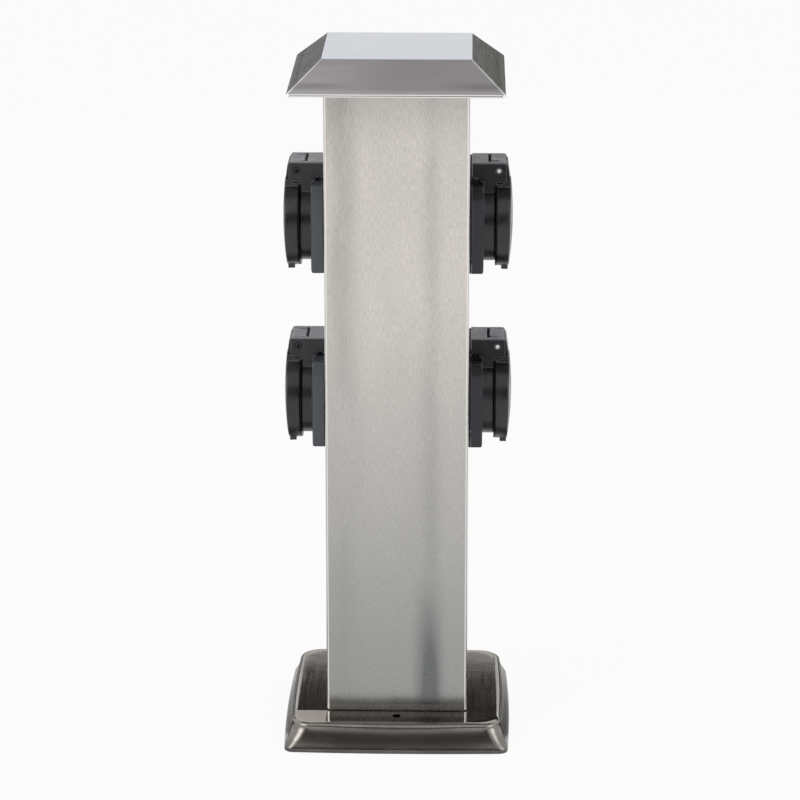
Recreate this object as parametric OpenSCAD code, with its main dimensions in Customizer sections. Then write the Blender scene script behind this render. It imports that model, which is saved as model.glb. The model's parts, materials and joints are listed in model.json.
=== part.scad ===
// Garden socket post: a square steel column on a pressed base, with a folded roof and four lidded
// sockets.
// Millimetres, +Z up, origin on the ground under the middle of the column. The front is -Y.
// Each socket is drawn about its own centre, with X pointing out of the wall, Y along the wall and Z up.

/* [Column] */
// Outer width of the square column
column_w = 80; // [76:1:96]
// Height of the column tube
column_h = 376.2; // [360:1:460]
// Sheet thickness of the column
column_wall = 1.2; // [0.8:0.1:1.6]
// Outer corner radius of the column
column_corner_r = 1.8; // [1.7:0.1:4]
// Shadow gap between the base and the column's lower end
column_gap = 0.6; // [0.3:0.1:0.9]

/* [Base] */
// How far the base's lower edge stands out past the column, at the corners
base_over = 23.5; // [22:0.5:35]
// Height of the base cover
base_h = 16.5; // [15:0.5:24]
// How far the middle of each side stands out past the corners
base_bow = 1.3; // [0.2:0.1:3]
// Width that the skirt gains from the top bend to the rim, per side
base_flare = 4; // [2:0.5:6]
// Radius of the bend between the flat top and the skirt
base_bend_r = 3; // [2:0.5:4]
// Corner radius of the flat top, in plan
base_top_corner_r = 11; // [8:0.5:16]
// Corner radius of the lower edge, in plan
base_rim_corner_r = 5; // [3:0.5:8]
// Height of the upright rim at the lower edge
base_rim_h = 2.4; // [1.5:0.1:4]
// Sheet thickness of the base cover
base_wall = 1.2; // [0.8:0.1:1.5]
// Width of the inturned hem that stands on the ground
base_hem_w = 5; // [3:0.5:8]
// Distance from the column to the middle of a ground screw hole
ground_hole_off = 8; // [6:0.5:10]
// Diameter of a ground screw hole
ground_hole_d = 4.5; // [3.5:0.1:5.5]

/* [Roof] */
// How far the roof's lower edge stands out past the column
roof_over = 19.2; // [15:0.1:30]
// How far the roof's flat top stands out past the column
roof_top_over = 0.65; // [0.6:0.05:4]
// Height of the roof from its lower edge to its flat top
roof_h = 17.4; // [12:0.5:24]
// Height of the upright lip at the lower edge
roof_lip_h = 1.3; // [0.8:0.1:2.5]
// Sheet thickness of the roof
roof_wall = 1.2; // [0.8:0.1:1.5]

/* [Socket positions] */
// Height of the lower sockets' centres
socket_low_z = 194.6; // [186:0.5:205]
// Distance between the lower and the upper sockets
socket_pitch = 100.9; // [92:0.1:110]

/* [Socket housing] */
// Height and width of the square flange
flange_w = 50; // [48:0.5:54]
// How far the flange's centre lies below the socket's axis
flange_drop = 0.3; // [0:0.1:1.5]
// Thickness of the flange
flange_t = 6.6; // [5:0.1:7]
// Radius of the flange's long edges
flange_edge_r = 1.1; // [0.5:0.1:1.5]
// Radius of the flange's corners
flange_corner_r = 2.6; // [1.6:0.1:3]
// Thickness of the gasket behind the flange
gasket_t = 1.2; // [0.6:0.1:2]
// Distance between flange screws
flange_screw_pitch = 38; // [37:0.5:39]
// Radius of the collar that stands out of the flange
collar_r = 22.4; // [22:0.1:23]
// Distance from the wall to the step of the collar
collar_out = 13.9; // [13:0.1:14.2]
// Distance from the wall to the sealing face of the collar
land_out = 15; // [14.8:0.1:15.4]
// Radius of the sealing land in front of the step
land_r = 21.4; // [21:0.1:21.8]
// Inner radius of the plug recess
recess_r = 19.6; // [19:0.1:20]
// Depth of the plug recess from the sealing face
recess_depth = 17.5; // [16:0.5:18]
// Radius of the cup behind the wall
cup_r = 21.2; // [20.8:0.1:21.6]
// How far the cup reaches behind the wall's outer face
cup_depth = 18; // [17:0.5:20]
// How far the two guide ribs stand into the recess
guide_rib_h = 2; // [1:0.1:2.6]
// Width of a guide rib
guide_rib_w = 5; // [3:0.5:6]

/* [Hinge] */
// Distance from the wall to the hinge pin's axis
pin_out = 16.1; // [15.9:0.1:16.6]
// Height of the hinge pin's axis over the socket's centre
pin_up = 30.8; // [30.5:0.1:32]
// Diameter of the hinge pin
pin_d = 2.4; // [2:0.1:3]
// Width of the hinge block along the pin
block_w = 25; // [24:0.5:28]
// Thickness of each cheek of the block
cheek_t = 2.4; // [2:0.1:3]
// Height of the block's top over the pin's axis
block_top = 4.7; // [4.4:0.1:5]
// Height of the block's underside over the socket's centre
block_under = 24.4; // [24:0.1:25]
// Distance from the wall to the slot across the block's top
slot_out = 10.2; // [9.6:0.1:10.4]
// Radius of the cheeks' round lower end about the pin
cheek_r = 7.1; // [7:0.1:7.4]
// Radius of the lid's hub about the pin
hub_r = 6.3; // [6:0.1:6.4]

/* [Lid] */
// Radius of the lid's rim
lid_r = 25.2; // [24.2:0.1:26]
// Distance from the wall to the inner edge of the rim
lid_in = 15.3; // [15.3:0.1:15.8]
// Distance from the wall to the outer edge of the rim
lid_out = 23.1; // [22:0.1:23.5]
// Height of the domed face over the rim's outer edge
dome_h = 1.6; // [1.2:0.1:2.2]
// Width of the thumb tab
tab_w = 15; // [8:0.5:20]
// How far the tab reaches below the rim
tab_drop = 0.9; // [0.8:0.1:4]
// Angle at which the closed lid leans in at its lower edge
lid_lean = 1.2; // [0:0.1:1.5]
// Thickness of the seal ring in the lid
seal_t = 1.9; // [1.5:0.1:2.2]
// Inner radius of the seal ring
seal_in_r = 19.2; // [18.6:0.1:19.4]
// Outer radius of the seal ring
seal_out_r = 22.2; // [21.8:0.1:22.6]

/* [Lid spring] */
// Diameter of the spring wire
spring_wire_d = 0.7; // [0.5:0.05:0.8]
// Mean radius of the spring's turns
spring_r = 2.7; // [2.5:0.05:2.8]
// Number of turns
spring_turns = 5; // [3:1:5]
// Distance from turn to turn
spring_pitch = 1.25; // [1.2:0.05:1.3]

/* [Contacts] */
// Distance between the two pin holes
pin_hole_pitch = 19; // [18:0.5:20]
// Diameter of a pin hole
pin_hole_d = 5.4; // [5:0.1:5.8]
// Depth behind the recess that the plug's pins need
pin_room = 19.5; // [19:0.1:20]
// Thickness of the insert's front wall
insert_face_t = 5; // [3:0.5:6]
// Length of the contact insert
insert_l = 14; // [12:0.5:14.5]
// Diameter of the chambers behind the pin holes
chamber_d = 7.6; // [7.2:0.1:8]
// Thickness of the earth strip
earth_t = 0.8; // [0.6:0.1:1]
// Width of the earth strip
earth_w = 5.5; // [4:0.5:6]
// How far the earth clips stand out of the insert's face
earth_clip_l = 10; // [7:0.5:12]

/* [Foot and wiring] */
// Thickness of the plate in the column's foot
foot_t = 3; // [2:0.5:5]
// Distance between the base screws, both ways
base_screw_pitch = 56; // [50:1:60]
// Diameter of the base screws
base_screw_d = 5; // [4:0.5:5]
// Bore of the cable grommet
grommet_bore_d = 10; // [7:0.5:12]
// Diameter of the hole that holds the grommet
grommet_seat_d = 17; // [16:0.5:20]
// Height of the terminal bracket over the foot plate
bracket_h = 84; // [78:1:90]
// Width of the terminal bracket
bracket_w = 46; // [42:1:50]
// Thickness of the bracket's sheet
bracket_t = 1.5; // [1:0.1:2]
// Diameter of a wire over its insulation
wire_d = 2.8; // [2:0.1:3]

/* [Hidden] */

// Smoothness of true circles
$fn = 64;
// Overshoot of a cut past the face that it opens
cut = 1;
// Gap between pieces that are fitted together and do not move
fit = 0.05;
// Gap between a part and the seat that it lies on
seat = 0.1;
// Gap between a moving piece and what it passes
run = 0.35;

column_in = column_w / 2 - column_wall;
base_w = column_w + 2 * base_over;
ground_hole_pitch = column_w + 2 * ground_hole_off;
roof_w = column_w + 2 * roof_over;
roof_top_w = column_w + 2 * roof_top_over;
column_top = base_h + column_h;
roof_top = column_top + fit + roof_wall;
roof_z = roof_top - roof_h;
socket_up_z = socket_low_z + socket_pitch;
foot_top = base_h + foot_t;
cup_hole_r = cup_r + 0.4;
flange_out = gasket_t + flange_t;
recess_floor = land_out - recess_depth;
insert_r = recess_r + 0.5;
insert_front = recess_floor - seat;
insert_back = insert_front - insert_l;
pin_end = recess_floor - pin_room;
screw_d = 3;
screw_head_r = 2.8;
screw_head_h = 2;
screw_hole_d = screw_d + 0.4;
// Depth to which the flange screws' heads are sunk, and the radius of their wells
screw_sink = screw_head_h + 0.4;
screw_well_r = screw_head_r + 0.3;
cheek_in = block_w / 2 - cheek_t;
hub_half = cheek_in - 0.25;
relief_r = hub_r + run;
block_outer = 4.3;
steel = [0.66, 0.65, 0.63];
dark_steel = [0.35, 0.34, 0.32];
black = [0.13, 0.135, 0.15];
rubber = [0.08, 0.08, 0.085];
brass = [0.75, 0.62, 0.32];
zinc = [0.7, 0.71, 0.72];

// Places what follows on the right wall for side 1 and on the left wall for -1, at the height level
module on_wall(side, level) {
    translate([side * column_w / 2, 0, level])
        rotate([0, 0, side > 0 ? 0 : 180])
            children();
}

// Flange frame: the flange's centre on the wall, turned so that +Z points out of the wall
module at_flange() {
    translate([0, 0, -flange_drop])
        along_x()
            children();
}

// Turns what is drawn along +Z so that it runs along +X
module along_x() {
    rotate([0, 90, 0])
        children();
}

// Round bar along X from x1 to x2
module bar_x(x1, x2, r) {
    translate([x1, 0, 0])
        along_x()
            cylinder(h = x2 - x1, r = r);
}

// Round bar along Y from y1 to y2
module bar_y(y1, y2, r) {
    translate([0, y2, 0])
        rotate([90, 0, 0])
            cylinder(h = y2 - y1, r = r);
}

// Box given by its low and high corners
module span(low, high) {
    translate(low)
        cube(high - low);
}

// Square bar with true round corners, w wide over all, r at the corners
module round_square(w, r, h) {
    for (turn = [0, 90])
        rotate([0, 0, turn])
            translate([-w / 2, r - w / 2, 0])
                cube([w, w - 2 * r, h]);
    for (sx = [-1, 1], sy = [-1, 1])
        translate([sx * (w / 2 - r), sy * (w / 2 - r), 0])
            cylinder(h = h, r = r);
}

// Moves what follows to the four corners of a square of the given pitch
module at_corners(pitch) {
    for (sx = [-1, 1], sy = [-1, 1])
        translate([sx * pitch / 2, sy * pitch / 2, 0])
            children();
}

// Square outline with corner arcs, whose sides stand out by bow at their middle along a parabola
function bowed_square(half, r, bow) = [
    for (side = [0:3])
        let (turn = 90 * side)
        each concat(
            [for (a = [-45:11.25:-1])
                turned([half - r + r * cos(a), -half + r + r * sin(a)], turn)],
            [for (t = [-1:0.25:1])
                turned([half + bow * (1 - t * t), t * (half - r)], turn)],
            [for (a = [11.25:11.25:34])
                turned([half - r + r * cos(a), half - r + r * sin(a)], turn)])];

// A point in the plane turned by an angle about the origin
function turned(p, a) = [p[0] * cos(a) - p[1] * sin(a), p[0] * sin(a) + p[1] * cos(a)];

// Solid form of the base, as deep as its skirt, shrunk all round by a wall
module base_form(shrink) {
    rim = base_w / 2 - shrink;
    shoulder = rim - base_flare;
    top = base_h - shrink;
    bend = base_bend_r - min(shrink, base_bend_r / 2);
    corner = base_top_corner_r;
    hull() {
        for (z = [shrink > 0 ? -cut : 0, base_rim_h])
            translate([0, 0, z])
                linear_extrude(0.01)
                    polygon(bowed_square(rim, base_rim_corner_r, base_bow));
        for (a = [0:30:90])
            translate([0, 0, top - bend + bend * sin(a) - 0.01])
                linear_extrude(0.01)
                    polygon(bowed_square(shoulder - bend + bend * cos(a), corner, base_bow * cos(a)));
    }
}

module base_cover() {
    color(dark_steel)
        difference() {
            union() {
                difference() {
                    base_form(0);
                    base_form(base_wall);
                }
                base_hem();
            }
            for (side = [-1, 1])
                translate([0, side * ground_hole_pitch / 2, 0])
                    cylinder(h = base_h + cut, d = ground_hole_d);
            at_corners(base_screw_pitch)
                cylinder(h = base_h + cut, d = base_screw_d + 0.5);
            cylinder(h = base_h + cut, d = grommet_seat_d);
        }
}

// Inturned hem on which the base cover stands
module base_hem() {
    linear_extrude(base_wall)
        difference() {
            polygon(bowed_square(base_w / 2 - base_wall / 2, base_rim_corner_r, base_bow));
            polygon(bowed_square(base_w / 2 - base_hem_w, base_rim_corner_r, base_bow));
        }
}

module column() {
    color(steel)
        difference() {
            translate([0, 0, base_h + column_gap])
                difference() {
                    round_square(column_w, column_corner_r, column_h - column_gap);
                    translate([0, 0, -cut])
                        round_square(2 * column_in, column_corner_r - column_wall, column_h + 2 * cut);
                }
            for (side = [-1, 1], level = [socket_low_z, socket_up_z])
                on_wall(side, level) {
                    bar_x(-column_wall - cut, cut, cup_hole_r);
                    at_flange()
                        at_corners(flange_screw_pitch)
                            translate([0, 0, -column_wall - cut])
                                cylinder(h = column_wall + 2 * cut, d = screw_d + 2 * fit);
                }
            at_cap_screws()
                bar_y(-column_wall - cut, cut, cap_screw_d / 2 + fit);
        }
}

// Welded plate that closes the column's foot
module foot_plate() {
    color(zinc)
        translate([0, 0, base_h])
            difference() {
                round_square(2 * (column_in - seat), column_corner_r, foot_t);
                translate([0, 0, -cut]) {
                    at_corners(base_screw_pitch)
                        cylinder(h = foot_t + 2 * cut, d = base_screw_d + 0.5);
                    cylinder(h = foot_t + 2 * cut, d = grommet_seat_d);
                    at_bracket_screws()
                        cylinder(h = foot_t + 2 * cut, d = screw_d + 2 * fit);
                    translate([earth_stud_x, earth_stud_y, 0])
                        cylinder(h = foot_t + 2 * cut, d = stud_d + 2 * fit);
                }
            }
}

base_head_h = 2.6;
base_head_r = 4.2;
base_nut_h = 4;
base_screw_l = base_wall + foot_t + base_nut_h + 2;

// Screws from below through the base cover and the foot plate, with flat round heads
module base_screws() {
    color(zinc)
        at_corners(base_screw_pitch)
            translate([0, 0, base_h - base_wall]) {
                translate([0, 0, -base_head_h])
                    difference() {
                        cylinder(h = base_head_h, r = base_head_r);
                        translate([0, 0, -cut])
                            cylinder(h = cut + base_head_h / 2, r = base_head_r / 2.8, $fn = 6);
                    }
                translate([0, 0, -fit])
                    cylinder(h = base_screw_l, d = base_screw_d);
            }
}

module base_nuts() {
    color(zinc)
        at_corners(base_screw_pitch)
            translate([0, 0, foot_top])
                hex_nut(base_screw_d, base_nut_h);
}

// Hexagon nut that fits a screw of diameter d, measured over its corners as 1.85 d
module hex_nut(d, h) {
    difference() {
        cylinder(h = h, d = 1.85 * d, $fn = 6);
        translate([0, 0, -cut])
            cylinder(h = h + 2 * cut, d = d + 2 * fit);
    }
}

// Solid form of the roof from its lower edge up, shrunk all round by a wall; the inner bends lie inside
// the outer ones by bend_in, which keeps the slopes' wall even
module roof_form(shrink) {
    low = roof_w / 2 - shrink;
    bend_in = 0.46 * shrink;
    high = roof_top_w / 2 - bend_in;
    corner = 2.2;
    hull() {
        for (z = [shrink > 0 ? -cut : 0, roof_lip_h - bend_in])
            translate([0, 0, z])
                linear_extrude(0.01)
                    polygon(bowed_square(low, corner, 0));
        translate([0, 0, roof_h - shrink - 0.01])
            linear_extrude(0.01)
                polygon(bowed_square(high, corner / 2, 0));
    }
}

module roof_cap() {
    color(steel)
        translate([0, 0, roof_z])
            difference() {
                roof_form(0);
                roof_form(roof_wall);
            }
}

cap_screw_d = 4;
cap_screw_l = 9;
cap_head_r = 3.6;
cap_head_h = 2.4;
cap_screw_pitch = 30;
cap_leg_h = 32;
cap_leg_w = 44;
cap_screw_z = column_top - cap_leg_h + 7;

// Moves what follows to the two cap screws, drawn from the rear wall's outer face along +Y
module at_cap_screws() {
    for (side = [-1, 1])
        translate([side * cap_screw_pitch / 2, column_w / 2, cap_screw_z])
            children();
}

// Bracket under the roof's flat top, with one leg inside the front wall and one inside the rear wall
module cap_bracket() {
    leg_y = column_in - 0.3;
    top = column_top - fit;
    color(zinc)
        difference() {
            union() {
                span([-cap_leg_w / 2, -leg_y, top - bracket_t], [cap_leg_w / 2, leg_y, top]);
                for (side = [-1, 1])
                    mirror([0, side < 0 ? 1 : 0, 0])
                        span([-cap_leg_w / 2, leg_y - bracket_t, top - cap_leg_h],
                             [cap_leg_w / 2, leg_y, top]);
            }
            at_cap_screws()
                bar_y(-column_wall - 2 * bracket_t - cut, 0, cap_screw_d / 2 + fit);
        }
}

module cap_screws() {
    color(zinc)
        at_cap_screws()
            rotate([-90, 0, 0])
                pan_screw(cap_screw_d, cap_head_r, cap_head_h, cap_screw_l);
}

// Cross-slotted screw with a low round head, its shank along -Z from the seat at z = 0
module pan_screw(d, head_r, head_h, l) {
    dome_r = (head_r * head_r + head_h * head_h) / (2 * head_h);
    difference() {
        intersection() {
            cylinder(h = head_h, r = head_r);
            translate([0, 0, head_h - dome_r])
                sphere(r = dome_r);
        }
        for (turn = [0, 90])
            rotate([0, 0, turn])
                span([-head_r * 0.6, -head_r * 0.13, head_h * 0.45],
                     [head_r * 0.6, head_r * 0.13, head_h + cut]);
    }
    translate([0, 0, -l])
        cylinder(h = l + fit, d = d);
}

grommet_lip = 2;
grommet_lip_d = grommet_seat_d + 5;

// Rubber grommet through the base cover and the foot plate
module cable_grommet() {
    low = base_h - base_wall;
    color(rubber)
        difference() {
            union() {
                translate([0, 0, low - grommet_lip])
                    cylinder(h = grommet_lip, d = grommet_lip_d);
                translate([0, 0, low - fit])
                    cylinder(h = base_wall + foot_t + 2 * fit, d = grommet_seat_d - 2 * fit);
                translate([0, 0, foot_top])
                    cylinder(h = grommet_lip, d = grommet_lip_d);
            }
            translate([0, 0, low - grommet_lip - cut])
                cylinder(h = base_wall + foot_t + 2 * grommet_lip + 2 * cut, d = grommet_bore_d);
        }
}

// Place of the bracket's face behind the cable, and length of its foot towards the rear wall
bracket_y = column_w / 10;
bracket_foot_y = column_in - bracket_y - 8.8;

// Moves what follows to the screws that hold the terminal bracket's foot
module at_bracket_screws() {
    for (side = [-1, 1])
        translate([side * (bracket_w / 2 - 6), bracket_y + bracket_foot_y - 8, 0])
            children();
}

clamp_z = foot_top + 24;
clamp_screw_x = 11;
clamp_bore_r = grommet_bore_d / 2 - 0.5;
clamp_foot_t = 2.6;
block_h = 20;
block_low = foot_top + bracket_h - block_h - 6;
block_d = 17;
block_x = 36;
block_y = bracket_y - block_d;
block_screw_in = 6;
block_screw_l = block_screw_in + bracket_t + 3;

// Bent sheet that stands on the foot plate and carries the terminal block and the cable clamp
module terminal_bracket() {
    color(zinc)
        difference() {
            union() {
                span([-bracket_w / 2, bracket_y, foot_top],
                     [bracket_w / 2, bracket_y + bracket_t, foot_top + bracket_h]);
                span([-bracket_w / 2, bracket_y, foot_top],
                     [bracket_w / 2, bracket_y + bracket_foot_y, foot_top + bracket_t]);
            }
            translate([0, 0, foot_top - cut])
                at_bracket_screws()
                    cylinder(h = bracket_t + 2 * cut, d = screw_d + 2 * fit);
            at_block_screws()
                bar_y(-cut, bracket_t + cut, screw_d / 2 + fit);
            at_clamp_screws()
                bar_y(-cut, bracket_t + cut, screw_d / 2 + fit);
            translate([0, 0, foot_top])
                cylinder(h = grommet_lip + 0.5, d = grommet_lip_d + 1);
        }
}

// Moves what follows to the terminal block's two fixing screws, on the bracket's front face
module at_block_screws() {
    for (side = [-1, 1])
        translate([side * (block_x / 2 - 3), bracket_y, block_low + block_h / 2])
            children();
}

// Moves what follows to the cable clamp's two screws, on the bracket's front face
module at_clamp_screws() {
    for (side = [-1, 1])
        translate([side * clamp_screw_x, bracket_y, clamp_z])
            children();
}

pole_pitch = 8;
pole_bore_r = 1.9;
well_r = 2.2;
well_heights = [0.25 * block_h, 0.75 * block_h];
well_in = 2.5;
pole_screw_l = block_d / 2 - well_in - pole_bore_r + 0.5;

// Three-pole terminal block with a wire way and a screw well for each pole
module terminal_block() {
    color([0.88, 0.87, 0.82])
        difference() {
            span([-block_x / 2, block_y, block_low],
                 [block_x / 2, bracket_y - fit, block_low + block_h]);
            for (pole = [-1:1])
                translate([pole * pole_pitch, 0, 0]) {
                    translate([0, block_y + block_d / 2, block_low - cut])
                        cylinder(h = block_h + 2 * cut, r = pole_bore_r);
                    for (height = well_heights)
                        translate([0, 0, block_low + height])
                            bar_y(block_y - cut, block_y + block_d / 2, well_r);
                }
            at_block_screws() {
                bar_y(-block_d - cut, cut, screw_d / 2 + 2 * fit);
                bar_y(-block_d - cut, -block_screw_in, screw_head_r + 2 * fit);
            }
        }
}

// The two fixing screws and the six clamp screws of the terminal block, and the bracket's foot screws
module terminal_block_screws() {
    color(zinc) {
        at_block_screws()
            translate([0, -block_screw_in, 0])
                rotate([90, 0, 0])
                    pan_screw(screw_d, screw_head_r, screw_head_h, block_screw_l);
        for (pole = [-1:1], height = well_heights)
            translate([pole * pole_pitch, block_y + well_in, block_low + height])
                rotate([90, 0, 0])
                    pan_screw(1.2 * well_r, well_r - seat, well_in / 2, pole_screw_l);
        translate([0, 0, foot_top + bracket_t])
            at_bracket_screws()
                pan_screw(screw_d, screw_head_r, screw_head_h, bracket_t + foot_t - seat);
    }
}

// Saddle that holds the supply cable against the bracket
module cable_clamp() {
    saddle_h = 12;
    strap = 2.4;
    foot = bracket_y - clamp_foot_t;
    color(black)
        difference() {
            translate([0, 0, clamp_z - saddle_h / 2])
                union() {
                    cylinder(h = saddle_h, r = clamp_bore_r + strap);
                    span([-clamp_bore_r - strap, 0, 0],
                         [clamp_bore_r + strap, bracket_y - fit, saddle_h]);
                    span([-clamp_screw_x - 4, foot, 0], [clamp_screw_x + 4, bracket_y - fit, saddle_h]);
                }
            translate([0, 0, clamp_z - saddle_h]) {
                cylinder(h = 2 * saddle_h, r = clamp_bore_r);
                span([-clamp_bore_r, 0, 0], [clamp_bore_r, bracket_y + cut, 2 * saddle_h]);
            }
            at_clamp_screws()
                bar_y(-bracket_y, cut, screw_d / 2 + 2 * fit);
        }
}

module cable_clamp_screws() {
    color(zinc)
        at_clamp_screws()
            translate([0, -clamp_foot_t - fit, 0])
                rotate([90, 0, 0])
                    pan_screw(screw_d, screw_head_r, screw_head_h, clamp_foot_t + bracket_t + 4);
}

stud_d = 5;
stud_l = 18;
stud_nut_h = 4;
earth_stud_x = 0;
earth_stud_y = -22;

// Welded stud on the foot plate for the earth of the metal post
module earth_stud() {
    color(brass)
        translate([earth_stud_x, earth_stud_y, base_h + fit])
            cylinder(h = foot_t + stud_l, d = stud_d);
}

module earth_nut() {
    color(brass)
        translate([earth_stud_x, earth_stud_y, foot_top + stud_l - 2 * stud_nut_h])
            hex_nut(stud_d, stud_nut_h);
}

flange_screw_l = flange_out - screw_sink + column_wall + 3;

// Four screws in each socket's flange, their heads sunk
module flange_screws() {
    color(zinc)
        for (side = [-1, 1], level = [socket_low_z, socket_up_z])
            on_wall(side, level)
                translate([flange_out - screw_sink, 0, 0])
                    at_flange()
                        at_corners(flange_screw_pitch)
                            pan_screw(screw_d, screw_head_r, screw_head_h, flange_screw_l);
}

// Hinge frame: origin on the pin's axis, X out of the wall and Z up
module at_pin() {
    translate([pin_out, 0, pin_up])
        children();
}

// The closed lid leans about the pin
module leaned() {
    at_pin()
        rotate([0, lid_lean, 0])
            translate([-pin_out, 0, -pin_up])
                children();
}

module socket_housing() {
    color(black)
        difference() {
            union() {
                flange();
                bar_x(gasket_t, collar_out, collar_r);
                bar_x(gasket_t, land_out, land_r);
                bar_x(-cup_depth, gasket_t + fit, cup_r);
                hinge_block();
                at_pin()
                    bar_y(block_w / 2 - fit, block_w / 2 + boss_h, pin_d / 2);
            }
            difference() {
                bar_x(recess_floor - cut, land_out + cut, recess_r);
                guide_ribs();
            }
            bar_x(-cup_depth - cut, recess_floor, insert_r + fit);
            at_flange()
                at_corners(flange_screw_pitch) {
                    cylinder(h = flange_out + cut, d = screw_hole_d);
                    translate([0, 0, flange_out - screw_sink])
                        cylinder(h = screw_sink + cut, r = screw_well_r);
                }
            seat_cut();
            pin_cuts();
        }
}

// Cuts the sealing land to the plane of the leaning lid, below the hinge
module seat_cut() {
    leaned()
        span([land_out, -collar_r - cut, -collar_r - cut],
             [land_out + 10, collar_r + cut, pin_up - relief_r]);
}

// Two ribs along the recess that guide the plug
module guide_ribs() {
    for (side = [-1, 1])
        translate([0, side * recess_r, 0])
            span([recess_floor, -guide_rib_h, -guide_rib_w / 2],
                 [collar_out, guide_rib_h, guide_rib_w / 2]);
}

// Square flange whose outer edges are rounded
module flange() {
    half = flange_w / 2;
    r = flange_edge_r;
    at_flange()
        hull() {
            translate([0, 0, gasket_t])
                linear_extrude(0.01)
                    polygon(bowed_square(half, flange_corner_r, 0));
            for (a = [0:30:90])
                translate([0, 0, flange_out - r + r * sin(a) - 0.01])
                    linear_extrude(0.01)
                        polygon(bowed_square(half - r + r * cos(a), flange_corner_r, 0));
        }
}

// Hollow under the block near the wall: its axis' distance from the wall, and its radius
hollow_out = 3.4;
hollow_r = 2.8;

// Hinge block: the body against the wall, two cheeks round the pin and the neck down to the collar
module hinge_block() {
    top = pin_up + block_top;
    corner = 1.6;
    low = block_under - 3;
    end = pin_out + block_outer;
    difference() {
        union() {
            span([gasket_t, -block_w / 2, block_under], [pin_out, block_w / 2, top]);
            span([flange_out, -block_w / 2, collar_r * 0.75],
                 [land_out, block_w / 2, block_under + cut]);
            intersection() {
                at_pin()
                    bar_y(-block_w / 2, block_w / 2, cheek_r);
                union() {
                    span([slot_out, -block_w / 2, low], [end - corner, block_w / 2, top]);
                    span([slot_out, -block_w / 2, low], [end, block_w / 2, top - corner]);
                    translate([end - corner, 0, top - corner])
                        bar_y(-block_w / 2, block_w / 2, corner);
                }
            }
        }
        translate([hollow_out, 0, block_under])
            bar_y(-block_w, block_w, hollow_r);
        at_pin() {
            bar_y(-cheek_in, cheek_in, relief_r);
            span([land_out - pin_out, -cheek_in, -relief_r - 10], [2 * relief_r, cheek_in, 0]);
            span([0, -cheek_in, 0], [2 * relief_r, cheek_in, relief_r]);
            span([slot_out - pin_out, -cheek_in, 0], [0, cheek_in, relief_r]);
        }
    }
}

pin_blind = 1;
pin_ring = 0.5;
boss_h = 0.3;

// Bore for the pin through one cheek and blind in the other, with a ring sunk round its head
module pin_cuts() {
    at_pin() {
        bar_y(-block_w / 2 - cut, block_w / 2 - pin_blind, pin_d / 2 + fit);
        bar_y(-block_w / 2 - cut, -block_w / 2 + pin_ring, pin_d / 2 + fit + pin_ring);
    }
}

module hinge_pin() {
    color(zinc)
        at_pin()
            bar_y(-block_w / 2 + seat, block_w / 2 - pin_blind - seat, pin_d / 2);
}

// Rubber sheet behind the flange and the hinge block
module flange_gasket() {
    edge = 0.6;
    half = flange_w / 2 - edge;
    neck = block_w / 2 - edge;
    back = seat / 2;
    front = gasket_t - seat / 2;
    color(rubber)
        difference() {
            union() {
                span([back, -half, -flange_drop - half], [front, half, half - flange_drop]);
                span([back, -neck, 0], [front, neck, pin_up + block_top - edge]);
            }
            bar_x(-cut, gasket_t + cut, cup_hole_r);
            at_flange()
                at_corners(flange_screw_pitch)
                    translate([0, 0, -cut])
                        cylinder(h = gasket_t + 2 * cut, d = screw_hole_d);
        }
}

// Moulded insert with the two pin holes, chambers for the contacts and a slot for the earth strip
module contact_insert() {
    color([0.17, 0.175, 0.19])
        difference() {
            bar_x(insert_back, insert_front, insert_r);
            for (side = [-1, 1])
                translate([0, side * pin_hole_pitch / 2, 0]) {
                    bar_x(insert_back - cut, recess_floor, pin_hole_d / 2);
                    bar_x(insert_back - cut, insert_front - insert_face_t, chamber_d / 2);
                }
            for (side = [-1, 1])
                span([insert_back - cut, -earth_w / 2 - earth_play, side * earth_out - earth_slot / 2],
                     [recess_floor + cut, earth_w / 2 + earth_play, side * earth_out + earth_slot / 2]);
        }
}

earth_out = 17.6;
earth_play = 0.3;
earth_slot = 3.2;
// Clamps behind the insert: their width, how far they reach past their wire holes, the holes' width and
// places, and the size of the screws
clamp_w = 7;
line_clamp_end = 3;
earth_clamp_end = 2.4;
wire_hole_d = wire_d - 0.4;
line_hole_x = pin_end - wire_hole_d / 2 - 0.8;
earth_hole_x = insert_back - seat - earth_t - earth_clamp_end;
clamp_screw_d = 2;
clamp_head_r = 1.9;

// Bent strip behind the insert whose two ends stand as clips at the top and bottom of the recess
module earth_contact() {
    back = insert_back - seat;
    color(brass) {
        span([back - earth_t, -earth_w / 2, -earth_out - earth_t / 2],
             [back, earth_w / 2, earth_out + earth_t / 2]);
        for (side = [-1, 1])
            span([back - earth_t, -earth_w / 2, side * earth_out - earth_t / 2],
                 [recess_floor + earth_clip_l, earth_w / 2, side * earth_out + earth_t / 2]);
        difference() {
            span([earth_hole_x - earth_clamp_end, -clamp_w / 2, -clamp_w / 2],
                 [back - earth_t + fit, clamp_w / 2, clamp_w / 2]);
            clamp_cuts(earth_hole_x, earth_clamp_end);
        }
    }
}

// Upright hole for a wire in a clamp, and the hole of the screw that comes in from behind
module clamp_cuts(hole_x, end) {
    translate([hole_x, 0, 0])
        cylinder(h = clamp_w + cut, d = wire_hole_d, center = true);
    bar_x(hole_x - end - cut, hole_x, clamp_screw_d / 2 + fit);
}

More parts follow.
